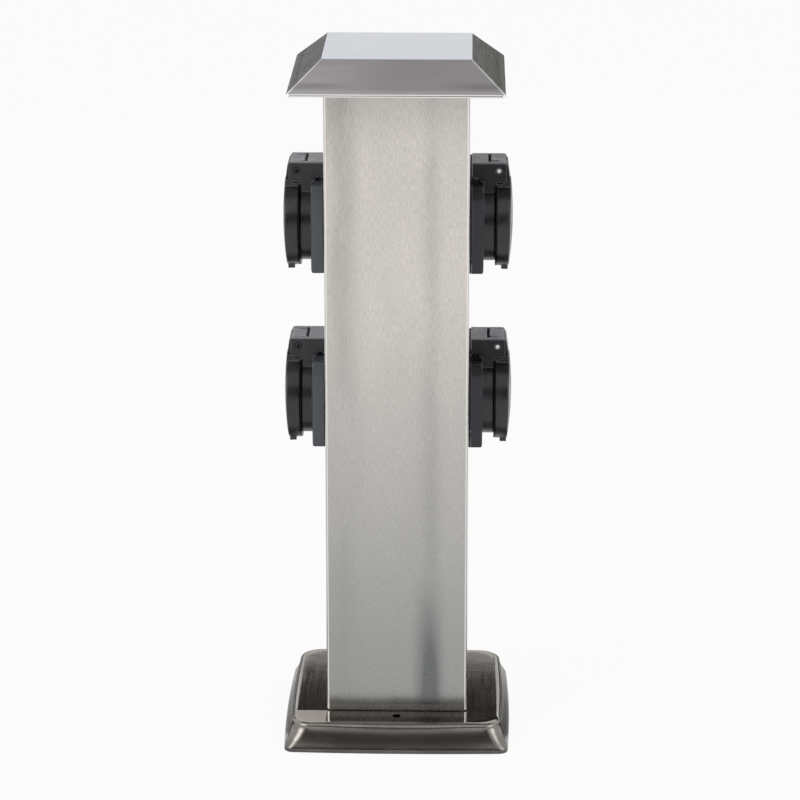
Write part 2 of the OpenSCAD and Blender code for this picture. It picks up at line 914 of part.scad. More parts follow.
// Sleeves behind the pin holes that hug the plug's pins, each with a screw clamp at its back
module line_contacts() {
    front = insert_front - insert_face_t - seat;
    sleeve_r = pin_hole_d / 2 - 0.2;
    color(brass)
        for (side = [-1, 1])
            translate([0, side * pin_hole_pitch / 2, 0])
                difference() {
                    union() {
                        bar_x(insert_back - 1, front, chamber_d / 2 - 0.4);
                        span([line_hole_x - line_clamp_end, -clamp_w / 2, -clamp_w / 2],
                             [insert_back - seat, clamp_w / 2, clamp_w / 2]);
                    }
                    bar_x(pin_end, front + cut, sleeve_r);
                    clamp_cuts(line_hole_x, line_clamp_end);
                }
}

// Clamp screws at the back of each socket: one in each line contact and one in the earth contact
module terminal_screws() {
    color(zinc)
        for (side = [-1, 1], level = [socket_low_z, socket_up_z])
            on_wall(side, level)
                for (pole = [-1:1]) {
                    hole_x = pole == 0 ? earth_hole_x : line_hole_x;
                    end = pole == 0 ? earth_clamp_end : line_clamp_end;
                    translate([hole_x - end, pole * pin_hole_pitch / 2, 0])
                        rotate([0, -90, 0])
                            pan_screw(clamp_screw_d, clamp_head_r, 1.2, end - wire_hole_d / 2 - seat);
                }
}

lid_edge_r = 1;
lid_shell = 2;
dome_chord = lid_r - lid_edge_r;
dome_r = (dome_chord * dome_chord + dome_h * dome_h) / (2 * dome_h);

// Domed disc of the lid with its rim, tab and hub, hollow inside
module lid() {
    color(black)
        leaned()
            difference() {
                union() {
                    lid_disc();
                    lid_tab();
                    lid_arm();
                }
                cheek_room();
                bar_x(lid_in - cut, lid_in + seal_t, seal_out_r + seat);
                lid_hollow();
                at_pin() {
                    bar_y(-block_w, block_w, pin_d / 2 + fit);
                    spring_pocket();
                }
            }
}

// Points of the dome's arc from radius r at the rim to the middle, sunk by a shell's thickness
function dome_arc(r, shell) = [for (i = [11:-1:0])
    let (a = asin(r / (dome_r - shell)) * i / 12)
    [(dome_r - shell) * sin(a), lid_out + dome_h - dome_r + (dome_r - shell) * cos(a)]];

// Rim with a rounded outer edge, closed by a shallow dome
module lid_disc() {
    edge_arc = [for (a = [0:22.5:90])
        [dome_chord + lid_edge_r * cos(a), lid_out - lid_edge_r + lid_edge_r * sin(a)]];
    along_x()
        rotate_extrude()
            polygon(concat([[0, lid_in], [lid_r, lid_in]], edge_arc, dome_arc(dome_chord, 0)));
}

// Space inside the lid behind the seal
module lid_hollow() {
    along_x()
        rotate_extrude()
            polygon(concat([[0, lid_in], [seal_in_r - 1, lid_in], [seal_in_r - 1, lid_out - 1]],
                           dome_arc(seal_in_r - 1, lid_shell)));
}

// Thumb tab under the rim, at its outer side
module lid_tab() {
    span([lid_out - 4.2, -tab_w / 2, -lid_r - tab_drop], [lid_out - 0.5, tab_w / 2, -lid_r + 3]);
}

// Height over the socket's axis at which the neck grows out of the dome, and its depth under the dome
lid_band_z = 14;
skin_drop = 0.5;
crown_r = 3;
crown_z = pin_up + block_top - crown_r;
// Distance from the wall to the neck's outer side at height z, which goes on in the dome's curve
function skin(z) = lid_out + dome_h - skin_drop - dome_r + sqrt(dome_r * dome_r - z * z);

// Neck and hub in one outline: round on the wall's side, flat on top, rounded into the outer band
module lid_arm() {
    start = 180 - asin(block_top / hub_r);
    turn = 360 - acos((lid_in - pin_out) / hub_r) - start;
    hub_arc = [for (i = [0:12])
        let (a = start + turn * i / 12)
        [pin_out + hub_r * cos(a), pin_up + hub_r * sin(a)]];
    crown_out = skin(crown_z) - crown_r;
    crown_arc = [for (a = [0:15:90]) [crown_out + crown_r * cos(a), crown_z + crown_r * sin(a)]];
    band = [for (i = [0:8]) let (z = lid_band_z + (crown_z - 1 - lid_band_z) * i / 8) [skin(z), z]];
    translate([0, block_w / 2, 0])
        rotate([90, 0, 0])
            linear_extrude(block_w)
                polygon(concat(hub_arc, [[lid_in, lid_band_z]], band, crown_arc));
}

// Room for the two cheeks beside the hub
module cheek_room() {
    for (start = [-block_w, hub_half])
        at_pin()
            bar_y(start, start + block_w - hub_half, cheek_r + run);
}

spring_y = -hub_half + 2.6;
spring_room = 0.5;
leg_room = 0.2;

// Room for the spring round the pin, with ways for its two legs
module spring_pocket() {
    far = spring_y + spring_turns * spring_pitch;
    half_wire = spring_wire_d / 2;
    side_room = half_wire + spring_room;
    bar_y(spring_y - side_room, far + side_room, spring_r + half_wire + run);
    span([-hub_r - cut, spring_y - side_room, -hub_r - cut], [0, spring_y + side_room, block_top + cut]);
    span([0, far - half_wire - leg_room, -spring_r - half_wire - leg_room],
         [spring_leg + leg_room, far + half_wire + leg_room, -spring_r + half_wire + leg_room]);
}

spring_leg = 4;
spring_steps = 8;
function spring_angle(i) = -90 + 360 * i / spring_steps;
// Rings of the spring: a leg along X under the pin, the turns, and a second leg along X
spring_rings = concat(
    [spring_ring(0.9 - relief_r, 0, -90)],
    [for (i = [0:spring_turns * spring_steps])
        spring_ring(spring_r * cos(spring_angle(i)), spring_pitch * i / spring_steps, spring_angle(i))],
    [spring_ring(spring_leg, spring_turns * spring_pitch, -90)]);
// One ring at x and y, with the radius of its turn at angle a; a leg's rings lie under the pin
function spring_ring(x, y, a) = [[x, spring_y + y, spring_r * sin(a)], [cos(a), 0, sin(a)], [0, 1, 0]];
// Least gap between neighbouring turns, measured on the centres one turn apart
spring_gap = min([for (i = [1:len(spring_rings) - 2 - spring_steps])
    norm(spring_rings[i + spring_steps][0] - spring_rings[i][0])]) - spring_wire_d;
echo(spring_gap = spring_gap);

// Points of a tube: each ring is its centre and two unit vectors across the tube
function tube_points(rings, r, sides) = [
    for (ring = rings, k = [0:sides - 1])
        ring[0] + r * cos(360 * k / sides) * ring[1] + r * sin(360 * k / sides) * ring[2]];

// Triangles of a tube with flat ends
function tube_faces(count, sides) = concat(
    [for (k = [1:sides - 2]) [0, k, k + 1]],
    [for (i = [0:count - 2], k = [0:sides - 1])
        let (a = i * sides + k, b = i * sides + (k + 1) % sides)
        each [[a, a + sides, b], [b, a + sides, b + sides]]],
    [for (k = [1:sides - 2])
        let (o = (count - 1) * sides)
        [o, o + k + 1, o + k]]);

// Tube of radius r through rings
module tube(rings, r, sides) {
    polyhedron(points = tube_points(rings, r, sides), faces = tube_faces(len(rings), sides));
}

// Coil spring on the hinge pin that pushes the lid shut
module lid_spring() {
    color(zinc)
        at_pin()
            tube(spring_rings, spring_wire_d / 2, 6);
}

module lid_seal() {
    color(rubber)
        leaned()
            difference() {
                bar_x(lid_in - run / 2, lid_in + seal_t - fit, seal_out_r);
                bar_x(lid_in - cut, lid_in + seal_t + cut, seal_in_r);
            }
}

wire_knee = 4;
wire_sides = 8;

// The point at distance l from p on the way to q
function toward(p, q, l) = p + (q - p) * (l / norm(q - p));

// A route whose knees are rounded by a curve that starts and ends at distance r from each knee
function rounded_route(route, r) = concat(
    [route[0]],
    [for (i = [1:len(route) - 2])
        let (a = toward(route[i], route[i - 1], r), b = toward(route[i], route[i + 1], r))
        each [for (t = [0:0.25:1]) (1 - t) * (1 - t) * a + 2 * t * (1 - t) * route[i] + t * t * b]],
    [route[len(route) - 1]]);

// Wire in the upright plane through the points p and q of the plan; each point of the route is its way
// from p and its height
module wire(p, q, route) {
    way = (q - p) / norm(q - p);
    across = [-way[1], way[0], 0];
    line = [for (s = rounded_route(route, wire_knee))
        [p[0] + s[0] * way[0], p[1] + s[0] * way[1], s[1]]];
    last = len(line) - 1;
    rings = [for (i = [0:last])
        let (along = line[min(i + 1, last)] - line[max(i - 1, 0)])
        [line[i], across, cross(along / norm(along), across)]];
    tube(rings, wire_d / 2, wire_sides);
}

// One conductor: from the terminal block to the lower right socket, across to the left one, up to the
// upper left one and across to the upper right one
module conductor(pole) {
    y = pole * pin_hole_pitch / 2;
    x = column_w / 2 + (pole == 0 ? earth_hole_x : line_hole_x);
    end = clamp_w / 2 + seat;
    dip = 7;
    straight = 22;
    start = [pole * pole_pitch, block_y + block_d / 2];
    feed = norm([x, y] - start);
    lane = [pin_hole_pitch / 2 - x, y + pin_hole_pitch / 4];
    side = norm(lane - [-x, y]);
    wire(start, [x, y], [[0, block_low + block_h + seat], [0, block_low + block_h + straight],
                         [feed, socket_low_z - end - straight], [feed, socket_low_z - end]]);
    for (level = [socket_low_z, socket_up_z])
        wire([x, y], [-x, y], [[0, level + end], [0, level + end + dip],
                               [2 * x, level + end + dip], [2 * x, level + end]]);
    low = socket_low_z - end;
    up = socket_up_z - end;
    wire([-x, y], lane, [[0, low], [0, low - dip], [side, low - dip],
                         [side, up - dip], [0, up - dip], [0, up]]);
}

module live_wires() {
    color([0.45, 0.26, 0.16])
        conductor(-1);
}

module neutral_wires() {
    color([0.2, 0.35, 0.7])
        conductor(1);
}

module earth_wires() {
    color([0.45, 0.6, 0.2])
        conductor(0);
}

base_cover();
column();
foot_plate();
base_screws();
base_nuts();
roof_cap();
cap_bracket();
cap_screws();
cable_grommet();
terminal_bracket();
terminal_block();
terminal_block_screws();
cable_clamp();
cable_clamp_screws();
earth_stud();
earth_nut();
flange_screws();
terminal_screws();
live_wires();
neutral_wires();
earth_wires();
on_wall(-1, socket_up_z) socket_housing();  // socket_housing_left_upper
on_wall(-1, socket_low_z) socket_housing();  // socket_housing_left_lower
on_wall(1, socket_up_z) socket_housing();  // socket_housing_right_upper
on_wall(1, socket_low_z) socket_housing();  // socket_housing_right_lower
on_wall(-1, socket_up_z) contact_insert();  // contact_insert_left_upper
on_wall(-1, socket_low_z) contact_insert();  // contact_insert_left_lower
on_wall(1, socket_up_z) contact_insert();  // contact_insert_right_upper
on_wall(1, socket_low_z) contact_insert();  // contact_insert_right_lower
on_wall(-1, socket_up_z) flange_gasket();  // flange_gasket_left_upper
on_wall(-1, socket_low_z) flange_gasket();  // flange_gasket_left_lower
on_wall(1, socket_up_z) flange_gasket();  // flange_gasket_right_upper
on_wall(1, socket_low_z) flange_gasket();  // flange_gasket_right_lower
on_wall(-1, socket_up_z) earth_contact();  // earth_contact_left_upper
on_wall(-1, socket_low_z) earth_contact();  // earth_contact_left_lower
on_wall(1, socket_up_z) earth_contact();  // earth_contact_right_upper
on_wall(1, socket_low_z) earth_contact();  // earth_contact_right_lower
on_wall(-1, socket_up_z) line_contacts();  // line_contacts_left_upper
on_wall(-1, socket_low_z) line_contacts();  // line_contacts_left_lower
on_wall(1, socket_up_z) line_contacts();  // line_contacts_right_upper
on_wall(1, socket_low_z) line_contacts();  // line_contacts_right_lower
on_wall(-1, socket_up_z) hinge_pin();  // hinge_pin_left_upper
on_wall(-1, socket_low_z) hinge_pin();  // hinge_pin_left_lower
on_wall(1, socket_up_z) hinge_pin();  // hinge_pin_right_upper
on_wall(1, socket_low_z) hinge_pin();  // hinge_pin_right_lower
on_wall(-1, socket_up_z) lid_spring();  // lid_spring_left_upper
on_wall(-1, socket_low_z) lid_spring();  // lid_spring_left_lower
on_wall(1, socket_up_z) lid_spring();  // lid_spring_right_upper
on_wall(1, socket_low_z) lid_spring();  // lid_spring_right_lower
on_wall(-1, socket_up_z) lid();  // lid_left_upper
on_wall(-1, socket_low_z) lid();  // lid_left_lower
on_wall(1, socket_up_z) lid();  // lid_right_upper
on_wall(1, socket_low_z) lid();  // lid_right_lower
on_wall(-1, socket_up_z) lid_seal();  // lid_seal_left_upper
on_wall(-1, socket_low_z) lid_seal();  // lid_seal_left_lower
on_wall(1, socket_up_z) lid_seal();  // lid_seal_right_upper
on_wall(1, socket_low_z) lid_seal();  // lid_seal_right_lower
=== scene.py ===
"""Garden socket post: looks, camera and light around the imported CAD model. Metres, +Z up, front at -Y."""
import json
import math

import bpy
import numpy as np
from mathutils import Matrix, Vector


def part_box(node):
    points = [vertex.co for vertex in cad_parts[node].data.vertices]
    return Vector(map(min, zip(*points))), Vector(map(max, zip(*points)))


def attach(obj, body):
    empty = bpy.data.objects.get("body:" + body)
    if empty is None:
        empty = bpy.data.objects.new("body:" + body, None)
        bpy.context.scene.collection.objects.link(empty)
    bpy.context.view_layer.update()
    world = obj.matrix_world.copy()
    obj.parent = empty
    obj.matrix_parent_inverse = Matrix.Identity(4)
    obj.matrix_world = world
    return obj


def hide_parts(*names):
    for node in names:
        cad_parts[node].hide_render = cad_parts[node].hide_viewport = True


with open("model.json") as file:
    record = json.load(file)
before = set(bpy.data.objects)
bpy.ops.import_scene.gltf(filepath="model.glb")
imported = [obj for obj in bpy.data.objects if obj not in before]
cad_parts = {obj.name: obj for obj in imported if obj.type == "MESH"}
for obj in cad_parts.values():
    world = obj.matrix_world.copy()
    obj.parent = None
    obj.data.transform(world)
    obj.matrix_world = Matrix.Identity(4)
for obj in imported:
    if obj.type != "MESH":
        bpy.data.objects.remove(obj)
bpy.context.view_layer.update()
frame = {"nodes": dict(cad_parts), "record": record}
MM = 0.001
QUARTER_TURN = math.pi / 2
LEVELS = ("left_upper", "left_lower")
FOOT_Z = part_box("column")[0][2]
WALL_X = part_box("column")[1][0]
FLANGE_OUT = WALL_X + 0.0078
COLLAR_OUT = WALL_X + 0.0144
EAVE_Z, ROOF_TOP_Z = (corner[2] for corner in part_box("roof_cap"))
BASE_TOP_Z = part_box("base_cover")[1][2]
GROUND_HOLE_Y, GROUND_HOLE_R = 0.048, 0.00225
BLACK, WHITE = (0.001, 0.001, 0.001), (1, 1, 1)
BEVEL_SAMPLES = 4


# Node trees

def fresh_material(name):
    """An empty material with its Principled shader and its Object coordinates."""
    mat = bpy.data.materials.new(name)
    mat.use_nodes = True
    tree = mat.node_tree
    tree.nodes.clear()
    out = tree.nodes.new("ShaderNodeOutputMaterial")
    shader = tree.nodes.new("ShaderNodeBsdfPrincipled")
    coords = tree.nodes.new("ShaderNodeTexCoord")
    tree.links.new(shader.outputs["BSDF"], out.inputs["Surface"])
    return mat, tree, shader, coords.outputs["Object"]


def stretched(tree, coords, scale):
    """Object coordinates, scaled per axis."""
    mapping = tree.nodes.new("ShaderNodeMapping")
    mapping.inputs["Scale"].default_value = scale
    tree.links.new(coords, mapping.inputs["Vector"])
    return mapping.outputs["Vector"]


def noise(tree, coords, scale, detail=4.0, rough=0.55):
    """Fractal noise, about 0.5 on average."""
    node = tree.nodes.new("ShaderNodeTexNoise")
    node.inputs["Scale"].default_value = scale
    node.inputs["Detail"].default_value = detail
    node.inputs["Roughness"].default_value = rough
    tree.links.new(coords, node.inputs["Vector"])
    return node.outputs["Fac"]


def ranged(tree, value, low, high, to_low, to_high, smooth=True):
    """The value, carried from one range to another and held at its ends."""
    node = tree.nodes.new("ShaderNodeMapRange")
    node.interpolation_type = "SMOOTHSTEP" if smooth else "LINEAR"
    limits = {"From Min": low, "From Max": high, "To Min": to_low, "To Max": to_high}
    for key, number in limits.items():
        node.inputs[key].default_value = number
    tree.links.new(value, node.inputs["Value"])
    return node.outputs["Result"]


def math_node(tree, kind, a, b):
    """One sum, product or other step on two values."""
    node = tree.nodes.new("ShaderNodeMath")
    node.operation = kind
    for socket, part in zip(node.inputs, (a, b)):
        if isinstance(part, (int, float)):
            socket.default_value = part
        else:
            tree.links.new(part, socket)
    return node.outputs["Value"]


def product(tree, *parts):
    """The parts, multiplied."""
    result = parts[0]
    for part in parts[1:]:
        result = math_node(tree, "MULTIPLY", result, part)
    return result


def total(tree, *parts):
    """The parts, added up."""
    result = parts[0]
    for part in parts[1:]:
        result = math_node(tree, "ADD", result, part)
    return result


def largest(tree, *parts):
    """The largest of the parts."""
    result = parts[0]
    for part in parts[1:]:
        result = math_node(tree, "MAXIMUM", result, part)
    return result


def apart(tree, a, b=0.0):
    """How far a lies from b, to either side."""
    return math_node(tree, "ABSOLUTE", math_node(tree, "SUBTRACT", a, b), 0.0)


def distance(tree, a, b):
    """Length of the line that goes a one way and b square to it."""
    return math_node(tree, "SQRT", total(tree, product(tree, a, a), product(tree, b, b)), 0.0)


def blended(tree, share, a, b):
    """Colour a, or b, by share; either may be a colour or a socket."""
    node = tree.nodes.new("ShaderNodeMix")
    node.data_type = "RGBA"
    tree.links.new(share, node.inputs["Factor"])
    for key, part in (("A", a), ("B", b)):
        socket = [s for s in node.inputs if s.name == key and s.type == "RGBA"][0]
        if isinstance(part, tuple):
            socket.default_value = (*part, 1.0)
        else:
            tree.links.new(part, socket)
    return [s for s in node.outputs if s.type == "RGBA"][0]


def layered(tree, tone, layers):
    """The tone under layers of (share, colour), the first of them lowest."""
    for share, colour in layers:
        tone = blended(tree, share, tone, colour)
    return tone


def axis_of(tree, coords, axis):
    """One of the coordinates, 0 for X to 2 for Z."""
    node = tree.nodes.new("ShaderNodeSeparateXYZ")
    tree.links.new(coords, node.inputs["Vector"])
    return node.outputs[axis]


def rounded_normal(tree, radius):
    """The normal that the surface would have with its sharp edges rounded."""
    bevel = tree.nodes.new("ShaderNodeBevel")
    bevel.samples = BEVEL_SAMPLES
    bevel.inputs["Radius"].default_value = radius
    return bevel.outputs["Normal"]


def bumped(tree, shader, pattern, strength, depth, edge=0.0):
    """Raises the surface by a pattern; edge rounds its sharp edges for the light."""
    bump = tree.nodes.new("ShaderNodeBump")
    bump.inputs["Strength"].default_value = strength
    bump.inputs["Distance"].default_value = depth
    tree.links.new(pattern, bump.inputs["Height"])
    if edge:
        tree.links.new(rounded_normal(tree, edge), bump.inputs["Normal"])
    tree.links.new(bump.outputs["Normal"], shader.inputs["Normal"])


def edge_mask(tree, radius):
    """1 at a sharp edge and 0 a radius away from it: how far a rounded normal turns from the face's own."""
    face = tree.nodes.new("ShaderNodeNewGeometry")
    dot = tree.nodes.new("ShaderNodeVectorMath")
    dot.operation = "DOT_PRODUCT"
    tree.links.new(rounded_normal(tree, radius), dot.inputs[0])
    tree.links.new(face.outputs["Normal"], dot.inputs[1])
    return ranged(tree, dot.outputs["Value"], 0.80, 0.995, 1.0, 0.0)


# Finishes

def streak_mask(tree, value, middle, half):
    """A soft stripe: 1 where the value is at its middle, falling to 0 at the given distance on both
    sides."""
    return ranged(tree, apart(tree, value, middle), 0.0, half, 1.0, 0.0)


def joined(tree, shader, tone, rough, metallic=1.0):
    """Gives the shader its tone and its roughness."""
    tree.links.new(tone, shader.inputs["Base Color"])
    tree.links.new(rough, shader.inputs["Roughness"])
    shader.inputs["Metallic"].default_value = metallic


def column_finish():
    """Stainless sheet, brushed upright in short strokes: mottled tone and gloss. A painted reflection makes
    it warm and light at the top and cooler and darker below, with a painted shadow just under the roof.
    Soft darker upright bands are painted reflections, and over the clean lower edge runs a smudge. Each
    upright corner has a painted highlight line beside a painted dark line on the edge."""
    mat, tree, shader, coords = fresh_material("column_brushed_steel")
    strokes = noise(tree, stretched(tree, coords, (1.0, 1.0, 0.16)), 1500.0, 5.0, 0.75)
    grain = noise(tree, stretched(tree, coords, (1.0, 1.0, 0.45)), 2600.0, 2.0, 0.6)
    cloud = noise(tree, stretched(tree, coords, (1.0, 1.0, 0.22)), 60.0, 4.0, 0.6)
    across, along, height = (axis_of(tree, coords, axis) for axis in range(3))
    from_foot = math_node(tree, "SUBTRACT", height, FOOT_Z)
    # Painted reflections: soft darker upright bands left and right of the middle.
    left_band = product(tree, streak_mask(tree, across, -0.031, 0.014),
                        ranged(tree, height, 0.15, 0.30, 0.15, 0.42))
    right_band = product(tree, streak_mask(tree, across, 0.0182, 0.012),
                         ranged(tree, height, 0.025, 0.12, 1.15, 0.10))
    right_core = product(tree, streak_mask(tree, across, 0.0195, 0.007),
                         ranged(tree, height, 0.025, 0.075, 0.65, 0.15))
    reflection_bands = product(tree, total(tree, left_band, right_band, right_core),
                     ranged(tree, cloud, 0.30, 0.60, 0.45, 0.85))
    smudge = product(tree, streak_mask(tree, from_foot, 0.0062, 0.0035),
                     ranged(tree, cloud, 0.35, 0.55, 0.1, 0.50))
    corner = math_node(tree, "MINIMUM", apart(tree, across), apart(tree, along))
    # Painted reflection: the tone is cool and dark low down and grows lighter upwards.
    tone = blended(tree, ranged(tree, height, 0.02, 0.20, 0.0, 1.0),
                   (0.310, 0.316, 0.305), (0.535, 0.518, 0.495))
    tone = layered(tree, tone, [
        # Painted reflection, warm and light at the top.
        (ranged(tree, height, 0.16, 0.29, 0.0, 1.0), (0.740, 0.695, 0.645)),
        # Painted shadow just under the roof.
        (ranged(tree, height, 0.34, 0.385, 0.0, 0.75), (0.50, 0.465, 0.43)),
        # Painted reflection bands.
        (reflection_bands, (0.10, 0.107, 0.110)),
        (smudge, (0.15, 0.145, 0.14)),
        (ranged(tree, from_foot, 0.0022, 0.0042, 0.6, 0.0), (0.72, 0.70, 0.66)),
        (ranged(tree, cloud, 0.35, 0.65, 0.0, 0.10), (0.30, 0.29, 0.28)),
        (ranged(tree, strokes, 0.38, 0.66, 0.0, 0.20), (0.22, 0.215, 0.21)),
        (ranged(tree, grain, 0.35, 0.65, 0.0, 0.10), (0.95, 0.94, 0.92)),
        # Painted highlight along each upright corner, and a painted dark line on the edge itself.
        (streak_mask(tree, corner, WALL_X - 0.0011, 0.0005), (0.85, 0.83, 0.80)),
        (ranged(tree, corner, WALL_X - 0.0007, WALL_X - 0.0004, 0.0, 0.75), (0.10, 0.10, 0.10))])
    joined(tree, shader, tone, ranged(tree, strokes, 0.3, 0.7, 0.24, 0.34))
    bumped(tree, shader, strokes, 0.10, 0.00005, 0.0007)
    return mat


def roof_finish():
    """Stainless sheet with a smooth satin face, faintly brushed along the eaves; the bluish flat top is a
    painted reflection. The slopes are painted lighter to the left and in a highlight above the eave, and
    carry painted shade in soft darker marks and low arcs towards the corners."""
    mat, tree, shader, coords = fresh_material("roof_brushed_steel")
    across, along, height = (axis_of(tree, coords, axis) for axis in range(3))
    out = apart(tree, across)
    from_eave = math_node(tree, "SUBTRACT", height, EAVE_Z)
    flat_top = ranged(tree, height, ROOF_TOP_Z - 0.0006, ROOF_TOP_Z - 0.0002, 0.0, 1.0)
    side_slope = product(tree, math_node(tree, "SUBTRACT", 1.0, flat_top),
                         ranged(tree, math_node(tree, "SUBTRACT", out, apart(tree, along)),
                                -0.0002, 0.0002, 0.0, 1.0))
    streaks = blended(tree, side_slope,
                      noise(tree, stretched(tree, coords, (0.03, 1.0, 1.0)), 1300.0, 5.0, 0.6),
                      noise(tree, stretched(tree, coords, (1.0, 0.03, 1.0)), 1300.0, 5.0, 0.6))
    marks = noise(tree, stretched(tree, coords, (0.25, 1.0, 1.6)), 55.0, 4.0, 0.6)
    # Painted shade: soft darker marks, stronger towards the corners.
    painted_light = product(tree, ranged(tree, marks, 0.40, 0.66, 0.0, 1.0),
                   ranged(tree, out, 0.020, 0.050, 0.10, 0.32))
    # Painted shade: darker arcs low on the slopes, towards the corners.
    eave_corner_shade = product(tree, streak_mask(tree, from_eave, 0.0052, 0.0026),
                     ranged(tree, out, 0.018, 0.046, 0.0, 0.42))
    # Painted light: the slopes are lighter to the left.
    slopes = blended(tree, ranged(tree, across, -0.055, 0.005, 1.0, 0.0),
                     (0.63, 0.615, 0.61), (0.86, 0.84, 0.84))
    tone = layered(tree, slopes, [
        # Painted shade in soft marks.
        (painted_light, (0.36, 0.34, 0.33)),
        # Painted shade in arcs above the eave.
        (eave_corner_shade, (0.30, 0.285, 0.28)),
        # Painted highlight in a strip above the eave.
        (ranged(tree, from_eave, 0.0016, 0.0044, 0.65, 0.0), (0.95, 0.94, 0.94)),
        # Painted reflection: bluish on the flat top.
        (flat_top, (0.565, 0.590, 0.650)),
        (ranged(tree, streaks, 0.35, 0.7, 0.0, 0.06), (0.40, 0.40, 0.41))])
    joined(tree, shader, tone, ranged(tree, streaks, 0.3, 0.7, 0.14, 0.18))
    bumped(tree, shader, marks, 0.05, 0.0004)
    return mat


def base_finish():
    """Drawn stainless base: a smooth dark top with a faint grain along Y, and a satin skirt painted darker,
    a painted shade that deepens towards the foot. A painted reflection makes the strip in front of the
    column a little lighter; the strip is rubbed matt at its left end. Painted shade makes the edges of the
    ground screw holes black."""
    mat, tree, shader, coords = fresh_material("base_drawn_steel")
    streaks = noise(tree, stretched(tree, coords, (1.0, 0.03, 1.0)), 900.0, 4.0, 0.6)
    cloud = noise(tree, coords, 55.0, 4.0, 0.55)
    rubs = noise(tree, stretched(tree, coords, (0.4, 0.4, 1.5)), 130.0, 4.0, 0.6)
    across, along, height = (axis_of(tree, coords, axis) for axis in range(3))
    top = ranged(tree, height, BASE_TOP_Z - 0.0020, BASE_TOP_Z - 0.0003, 0.0, 1.0)
    flat = ranged(tree, height, BASE_TOP_Z - 0.0005, BASE_TOP_Z - 0.0002, 0.0, 1.0)
    front = product(tree, ranged(tree, along, -WALL_X - 0.0010, -WALL_X, 1.0, 0.0), flat)
    # Painted reflection of the column: the strip in front of it is lighter, less so around x = 27 mm.
    lighter = product(tree, front, math_node(tree, "SUBTRACT", 1.0, streak_mask(tree, across, 0.027, 0.018)))
    rubbed = product(tree, front, ranged(tree, across, -WALL_X - 0.0005, -WALL_X + 0.0005, 1.0, 0.0))
    to_hole = distance(tree, across, math_node(tree, "SUBTRACT", apart(tree, along), GROUND_HOLE_Y))
    # Painted shade: black round the edges of the ground screw holes.
    hole = ranged(tree, to_hole, GROUND_HOLE_R + 0.00015, GROUND_HOLE_R + 0.00045, 1.0, 0.0)
    # Painted shade: the skirt is darker than the top, and darker towards the foot.
    skirt = blended(tree, ranged(tree, height, 0.003, 0.013, 0.0, 1.0),
                    (0.170, 0.160, 0.145), (0.230, 0.215, 0.200))
    tone = layered(tree, skirt, [
        (ranged(tree, rubs, 0.40, 0.70, 0.0, 0.30), (0.42, 0.40, 0.38)),
        # Painted shade at the foot.
        (ranged(tree, height, 0.0016, 0.0030, 1.0, 0.0), (0.09, 0.085, 0.080)),
        (top, (0.335, 0.305, 0.280)),
        (ranged(tree, cloud, 0.35, 0.65, 0.0, 0.30), (0.20, 0.185, 0.17)),
        (ranged(tree, streaks, 0.3, 0.7, 0.0, 0.25), (0.13, 0.12, 0.11)),
        # Painted reflection on the strip in front of the column.
        (product(tree, lighter, 0.34), (0.56, 0.515, 0.475)),
        (rubbed, (0.58, 0.53, 0.485)),
        # Painted shade at the hole edges.
        (hole, (0.004, 0.004, 0.004))])
    rough = total(tree, ranged(tree, streaks, 0.3, 0.7, 0.05, 0.08), ranged(tree, top, 0.0, 1.0, 0.17, 0.0),
                  product(tree, rubbed, 0.40))
    joined(tree, shader, tone, rough)
    bumped(tree, shader, cloud, 0.06, 0.0003)
    return mat


def moulded_finish(name, colour, rough, grain=2600.0, edge=0.0006):
    """Moulded plastic: a fine even grain, a slow drift in tone and gloss, and pale painted highlights on
    edges.
    """
    mat, tree, shader, coords = fresh_material(name)
    fine = noise(tree, coords, grain, 2.0, 0.5)
    slow = noise(tree, coords, 85.0, 4.0, 0.6)
    lighter = tuple(min(1.0, c * 1.5 + 0.006) for c in colour)
    # The colour of the painted edge highlight.
    painted_light = tuple(min(1.0, c * 1.3 + 0.12) for c in colour)
    tone = blended(tree, ranged(tree, slow, 0.38, 0.66, 0.0, 1.0), colour, lighter)
    # Painted highlight on the edges.
    tone = blended(tree, product(tree, edge_mask(tree, edge), 0.7), tone, painted_light)
    joined(tree, shader, tone, ranged(tree, slow, 0.3, 0.7, rough - 0.05, rough + 0.06), metallic=0.0)
    bumped(tree, shader, fine, 0.25, 0.00008, edge)
    return mat


